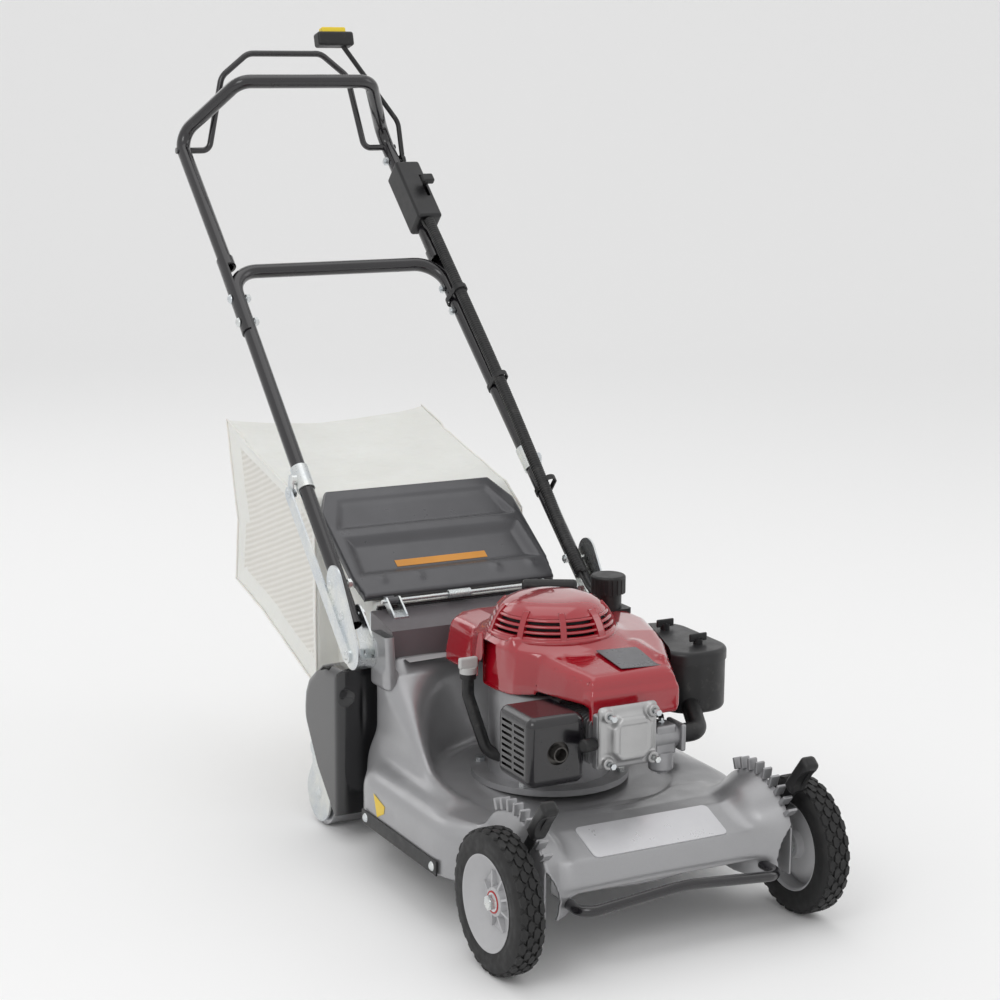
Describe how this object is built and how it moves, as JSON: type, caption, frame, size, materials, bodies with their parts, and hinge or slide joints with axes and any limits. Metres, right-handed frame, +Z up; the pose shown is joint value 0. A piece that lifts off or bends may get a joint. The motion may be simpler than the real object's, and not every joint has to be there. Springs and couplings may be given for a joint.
{
  "type": "walk-behind rotary lawn mower",
  "caption": "Petrol rotary mower with a pressed deck, two front wheels, a driven rear roller, a hinged lid, a fabric grass bag and a tubular push handle with controls.",
  "frame": {"origin": "on the ground, under the middle of the machine's bounding box", "axes": "+X to the machine's own left side, +Y to the rear (towards the handle), +Z up"},
  "size_m": [0.528, 1.439, 1.2433],
  "materials": {
    "deck_paint": "satin metallic",
    "black_plastic": "fine grain",
    "satin_black": "satin",
    "gloss_black": "gloss",
    "zinc_steel": "zinc plated",
    "badge_silver": "satin silver",
    "black_paint": "gloss powder coat",
    "grey_paint": "satin",
    "lid_paint": "metallic satin",
    "tyre_rubber": "matte rubber",
    "rim_grey": "satin",
    "plain_steel": "machined",
    "belt_rubber": "matte",
    "cast_alloy": "as cast",
    "rocker_alloy": "as cast",
    "roller_steel": "painted silver",
    "dark_steel": "heat stained",
    "red_gloss": "gloss",
    "grey_plastic": "satin",
    "filter_foam": "open foam",
    "yellow_plastic": "satin",
    "bag_fabric": "woven"
  },
  "bodies": {
    "machine": {"side_skirts": "black_plastic", "fasteners": "zinc_steel", "badge_plate": "badge_silver", "front_bumper": "black_paint", "rear_plate": "zinc_steel", "rear_panel": "grey_paint", "lid_hinges": "zinc_steel", "handle_lower": "black_paint", "handle_upper": "black_paint", "handle_brackets": "zinc_steel", "deck_housing": "deck_paint", "drive_belt": "belt_rubber", "belt_cover": "black_paint", "gearbox": "cast_alloy", "side_covers": "gloss_black", "crankcase": "cast_alloy", "cylinder": "cast_alloy", "rocker_cover": "rocker_alloy", "spark_plug": "black_plastic", "muffler": "dark_steel", "muffler_guard": "black_paint", "engine_cowl": "red_gloss", "starter_dome": "red_gloss", "fuel_tank": "black_plastic", "oil_filler": "black_plastic", "carburettor": "cast_alloy", "air_filter_case": "black_plastic", "air_filter_lid": "satin_black", "air_filter_foam": "filter_foam", "control_box": "satin_black", "cable_conduit": "black_plastic", "cables_and_hose": "belt_rubber"},
    "lid": {"lid": "lid_paint"},
    "grass_bag": {"grass_bag": "bag_fabric", "bag_frame": "black_paint"},
    "bail": {"bail": "black_paint"},
    "blade_lever": {"blade_lever": "black_plastic"},
    "blade_button": {"blade_button": "yellow_plastic"},
    "throttle_lever": {"throttle_lever": "black_plastic"},
    "throttle_arm": {"throttle_arm": "zinc_steel"},
    "height_arm_left": {"height_arm_left": "zinc_steel", "height_lever_left": "black_plastic"},
    "height_arm_right": {"height_arm_right": "zinc_steel", "height_lever_right": "black_plastic"},
    "wheel_left": {"tyre_left": "tyre_rubber", "rim_left": "rim_grey"},
    "wheel_right": {"tyre_right": "tyre_rubber", "rim_right": "rim_grey"},
    "crank": {"crankshaft": "plain_steel", "blade": "plain_steel"},
    "gearbox_input": {"gearbox_input": "plain_steel"},
    "rear_carrier": {"carrier": "zinc_steel", "drive_chain": "plain_steel", "rear_height_lever": "black_plastic"},
    "roller": {"roller": "roller_steel"},
    "drive_shaft": {"drive_shaft": "plain_steel"},
    "starter_grip": {"starter_grip": "black_plastic"},
    "starter_drum": {"starter_drum": "black_plastic"},
    "fuel_cap": {"fuel_cap": "black_plastic"},
    "oil_cap": {"oil_cap": "grey_plastic"}
  },
  "joints": [
    {"name": "lid_hinge", "type": "hinge", "parent": "machine", "child": "lid", "pos_m": [0, -0.04146, 0.368], "axis": [1, 0, 0], "range_deg": [0, 70], "stiffness_Nm_per_rad": 0.4, "springref_deg": -51.57},
    {"name": "bag_slide", "type": "slide", "parent": "machine", "child": "grass_bag", "axis": [0, 1, 0], "range_m": [0, 0.35]},
    {"name": "bail_hinge", "type": "hinge", "parent": "machine", "child": "bail", "pos_m": [0, 0.66854, 1.02811], "axis": [1, 0, 0], "range_deg": [0, 30], "stiffness_Nm_per_rad": 1.2, "springref_deg": -28.65},
    {"name": "blade_lever_hinge", "type": "hinge", "parent": "machine", "child": "blade_lever", "pos_m": [0.209, 0.64254, 1.00436], "axis": [1, 0, 0], "range_deg": [0, 25], "stiffness_Nm_per_rad": 1, "springref_deg": -22.92},
    {"name": "blade_button_slide", "type": "slide", "parent": "blade_lever", "child": "blade_button", "axis": [0, -0.2756, -0.9613], "range_m": [0, 0.005], "stiffness_N_per_m": 400, "springref_m": -0.002},
    {"name": "throttle_hinge", "type": "hinge", "parent": "machine", "child": "throttle_lever", "pos_m": [0.212, 0.56793, 0.94436], "axis": [1, 0, 0], "range_deg": [-20, 25]},
    {"name": "throttle_arm_hinge", "type": "hinge", "parent": "machine", "child": "throttle_arm", "pos_m": [0.079, -0.50346, 0.25], "axis": [0, 0, 1], "range_deg": [-30, 37.5]},
    {"name": "height_left", "type": "hinge", "parent": "machine", "child": "height_arm_left", "pos_m": [0.199, -0.57446, 0.1], "axis": [1, 0, 0], "range_deg": [-50, 16]},
    {"name": "height_right", "type": "hinge", "parent": "machine", "child": "height_arm_right", "pos_m": [-0.199, -0.57446, 0.1], "axis": [1, 0, 0], "range_deg": [-50, 16]},
    {"name": "wheel_left_spin", "type": "hinge", "parent": "height_arm_left", "child": "wheel_left", "pos_m": [0.243, -0.61946, 0.1], "axis": [1, 0, 0], "continuous": true},
    {"name": "wheel_right_spin", "type": "hinge", "parent": "height_arm_right", "child": "wheel_right", "pos_m": [-0.243, -0.61946, 0.1], "axis": [1, 0, 0], "continuous": true},
    {"name": "crank_spin", "type": "hinge", "parent": "machine", "child": "crank", "pos_m": [0, -0.31946, 0.084], "axis": [0, 0, 1], "continuous": true},
    {"name": "gearbox_input_spin", "type": "hinge", "parent": "machine", "child": "gearbox_input", "pos_m": [0, -0.01546, 0.112], "axis": [0, 0, 1], "continuous": true},
    {"name": "rear_height", "type": "hinge", "parent": "machine", "child": "rear_carrier", "pos_m": [0, -0.01546, 0.15], "axis": [1, 0, 0], "range_deg": [-4, 34]},
    {"name": "roller_spin", "type": "hinge", "parent": "rear_carrier", "child": "roller", "pos_m": [0, 0.02054, 0.05], "axis": [1, 0, 0], "continuous": true},
    {"name": "drive_shaft_spin", "type": "hinge", "parent": "rear_carrier", "child": "drive_shaft", "pos_m": [0, -0.01546, 0.15], "axis": [1, 0, 0], "continuous": true},
    {"name": "starter_pull", "type": "slide", "parent": "machine", "child": "starter_grip", "axis": [0.4318, 0.8225, 0.3701], "range_m": [0, 0.3], "stiffness_N_per_m": 6, "springref_m": -0.35},
    {"name": "starter_drum_turn", "type": "hinge", "parent": "machine", "child": "starter_drum", "pos_m": [0, -0.31946, 0.394], "axis": [0, 0, 1], "range_deg": [0, 430.72]},
    {"name": "fuel_cap_turn", "type": "hinge", "parent": "machine", "child": "fuel_cap", "pos_m": [0.153, -0.22346, 0.392], "axis": [0, 0, 1], "range_deg": [0, 90]},
    {"name": "oil_cap_turn", "type": "hinge", "parent": "machine", "child": "oil_cap", "pos_m": [-0.118, -0.28146, 0.312], "axis": [0, 0, 1], "range_deg": [0, 90]}
  ],
  "couplings": [
    {"joint": "throttle_arm_hinge", "follows": "throttle_hinge", "ratio": 1.5},
    {"joint": "gearbox_input_spin", "follows": "crank_spin", "ratio": 0.92308},
    {"joint": "drive_shaft_spin", "follows": "roller_spin", "ratio": 1.5},
    {"joint": "starter_drum_turn", "follows": "starter_pull", "rad_per_m": 25}
  ]
}
